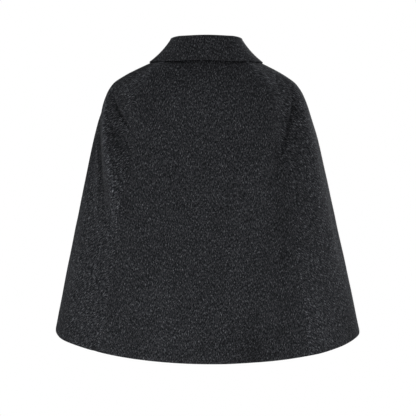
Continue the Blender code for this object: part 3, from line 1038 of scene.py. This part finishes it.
def placed_copy(model, name, place):
    """Copy a model with a mesh of its own, and put its place into that mesh."""
    copy = bpy.data.objects.new(name, model.data.copy())
    bpy.context.scene.collection.objects.link(copy)
    copy.data.transform(place)
    return copy


above_cloth = Matrix.Translation((0.0, 0.0, BUTTON_CLEARANCE))
buttons = []
for number, height in enumerate(button_heights):
    place = front_seat(height) @ above_cloth
    buttons.append(placed_copy(button_model, f"button_{number + 1}_horn", place))
bpy.data.objects.remove(button_model)
print(f"{len(buttons)} buttons, {BUTTON_SPACING / MM:.0f} mm apart")

# %% [markdown]
# ## Buttonholes
# A buttonhole is a short cut in the upper front, worked round with close stitches so that the cloth
# doesn't fray. It starts just past the button's middle and runs away from the front edge, so half of
# it shows beside the button. Stitches could be drawn in a material, but real ones stand up and catch
# the light, so one is modelled as a small drawn-out bead and copied round each cut.

# %% Stitches round a cut
CUT_START = 3.0 * MM
CUT_LENGTH = 28.0 * MM
CUT_GAP = 0.5 * MM
STITCH_LENGTH = 2.4 * MM
STITCH_WIDTH = 0.8 * MM
STITCH_HEIGHT = 0.7 * MM
STITCH_SPACING = 1.0 * MM
STITCH_SIDES = 6
STITCH_RINGS = 5
END_STITCHES = 6


def stitch_ring():
    """Return each stitch's way aside, its rise and its turn, round a cut beside a button."""
    reach = (CUT_GAP + STITCH_LENGTH) / 2
    count = round(CUT_LENGTH / STITCH_SPACING)
    ring = []
    for aside in np.linspace(CUT_START, CUT_START - CUT_LENGTH, count + 1):
        ring += [(aside, reach, 0.0), (aside, -reach, 0.0)]
    for end, way in ((CUT_START, -1.0), (CUT_START - CUT_LENGTH, 1.0)):
        for turn in way * np.linspace(0.0, math.pi, END_STITCHES + 2)[1:-1]:
            ring.append((end - reach * math.sin(turn), reach * math.cos(turn), turn))
    return ring


# A ball one metre across is drawn to the size of a stitch.
bpy.ops.object.select_all(action="DESELECT")
bpy.ops.mesh.primitive_uv_sphere_add(segments=STITCH_SIDES, ring_count=STITCH_RINGS, radius=0.5)
bpy.ops.transform.resize(value=(STITCH_WIDTH, STITCH_LENGTH, STITCH_HEIGHT))
bpy.ops.object.transform_apply(location=False, rotation=False, scale=True)
bpy.ops.object.shade_smooth()
stitch_model = bpy.context.object
stitch_model.data.materials.append(thread)
print(f"{len(stitch_ring())} stitches round a cut, {len(stitch_model.data.polygons)} faces each")

# %% Five buttonholes
stitches = []
for button_height in button_heights:
    for aside, rise, turn in stitch_ring():
        place = front_seat(button_height + rise, aside) @ Matrix.Rotation(turn, 4, "Z")
        stitches.append(placed_copy(stitch_model, "stitch", place))
bpy.data.objects.remove(stitch_model)
buttonholes = join(stitches)
buttonholes.name = buttonholes.data.name = "buttonhole_stitches"
print(f"{len(stitches)} stitches, {len(buttonholes.data.polygons)} faces")

# %% [markdown]
# ## Riding, replacing and the cloth's cut
# Cloth has no joints, so every piece rides on the one body. Each piece stands for its solid, which
# is hidden, and a table lists the flat size each piece was cut to, in metres and square metres.

# %% What each piece is
Cut = namedtuple("Cut", "piece node width length area")
CUTS = (
    Cut(back, "back", width=0.50, length=0.70, area=0.257),
    Cut(side_left, "side_left", width=0.46, length=0.76, area=0.218),
    Cut(side_right, "side_right", width=0.46, length=0.76, area=0.218),
    Cut(front_left, "front_left", width=0.30, length=0.61, area=0.145),
    Cut(front_right, "front_right", width=0.30, length=0.61, area=0.145),
    Cut(collar, "collar", width=0.62, length=0.11, area=0.058),
)
for cut in CUTS:
    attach(cut.piece, "root")
    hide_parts(cut.node)
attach(buttonholes, "root")
for number, button in enumerate(buttons):
    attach(button, "root")
    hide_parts(f"button_{number + 1}")
print(f"{len(CUTS)} pieces of cloth, {sum(cut.area for cut in CUTS):.2f} square metres in one layer")

# %% [markdown]
# ## Floor, light and camera
# The coat hangs over a plain pale floor in a white studio. The camera looks at its back from a little
# above. Two large soft boxes stand low on the camera's side, so that light comes up from both sides,
# and weaker ones stand high beyond the coat, at its right side, in front and above. The room looks
# white, but it lights the coat only faintly, so the folds keep their shade.

# %% Floor
# Matt paint has no shine, so the floor shows only soft shade.
FLOOR_DROP = 0.85
FLOOR_RADIUS = 2.0
FLOOR_SIDES = 96
FLOOR_PAINT = "#eceae6"
FLOOR_ROUGHNESS = 0.9
floor_height = cad_box[0][2] - FLOOR_DROP
bpy.ops.object.select_all(action="DESELECT")
bpy.ops.mesh.primitive_circle_add(
    vertices=FLOOR_SIDES, radius=FLOOR_RADIUS, fill_type="NGON", location=(0.0, 0.0, floor_height),
)
floor = bpy.context.object
floor.name = "floor"
floor_paint, floor_shader = new_material("matt_white_floor_paint")
fill_inputs(floor_paint, floor_shader, {
    "Base Color": linear(FLOOR_PAINT), "Roughness": FLOOR_ROUGHNESS,
})
floor.data.materials.append(floor_paint)
print(f"floor at z = {floor_height:.2f} m")

# %% White room
ROOM_LIGHT = 0.07
ROOM_SEEN = 1.0
world = bpy.data.worlds.new("white_room")
world.use_nodes = True
bpy.context.scene.world = world
camera_ray = add_node(world, "ShaderNodeLightPath").outputs["Is Camera Ray"]
strength = add_node(
    world, "ShaderNodeMapRange", {"Value": camera_ray, "To Min": ROOM_LIGHT, "To Max": ROOM_SEEN},
)
fill_inputs(world, world.node_tree.nodes["Background"], {
    "Color": linear("#ffffff"), "Strength": strength.outputs["Result"],
})
print(f"the room lights the coat with a strength of {ROOM_LIGHT}")

# %% Soft lights
MIDDLE = Vector((0.0, 0.0, -0.34))
BOX_WIDTH = 1.1
BOX_HEIGHT = 1.3
SoftBox = namedtuple("SoftBox", "name place watts")
SOFT_BOXES = (
    SoftBox("left low box", place=(1.62, 1.45, -1.35), watts=35),
    SoftBox("right low box", place=(-1.62, 1.45, -1.35), watts=29.5),
    SoftBox("left high box", place=(1.78, -0.65, 1.14), watts=10),
    SoftBox("right high box", place=(-1.78, -0.65, 1.14), watts=12),
    SoftBox("right side box", place=(-2.2, -0.9, -0.34), watts=6),
    SoftBox("front box", place=(-1.1, -2.2, 0.5), watts=28),
    SoftBox("top box", place=(0.0, 0.9, 1.9), watts=7),
)
for box in SOFT_BOXES:
    bpy.ops.object.light_add(type="AREA", location=box.place)
    light = bpy.context.object
    light.name = box.name
    light.data.shape = "RECTANGLE"
    light.data.size, light.data.size_y = BOX_WIDTH, BOX_HEIGHT
    light.data.energy = box.watts
    light.rotation_euler = (MIDDLE - light.location).to_track_quat("-Z", "Y").to_euler()
print(f"{len(SOFT_BOXES)} soft boxes, {sum(box.watts for box in SOFT_BOXES)} W")

# %% Camera
CAMERA_DISTANCE = 3.2
CAMERA_ELEVATION = math.radians(8)
CAMERA_LENS = 120.4
CAMERA_SENSOR = 36.0
AIM = Vector((-0.0037, 0.0, -0.354))
away = Vector((0.0, math.cos(CAMERA_ELEVATION), math.sin(CAMERA_ELEVATION)))
bpy.ops.object.camera_add(location=AIM + away * CAMERA_DISTANCE)
camera = bpy.context.object
camera.data.lens = CAMERA_LENS
camera.data.sensor_width = CAMERA_SENSOR
camera.rotation_euler = (-away).to_track_quat("-Z", "Y").to_euler()
bpy.context.scene.camera = camera
bpy.context.scene.view_settings.view_transform = "Standard"
print(f"camera {CAMERA_DISTANCE} m behind the coat, {CAMERA_LENS} mm lens")

# %% Sizes, and the end
print("CAD box", cad_box)
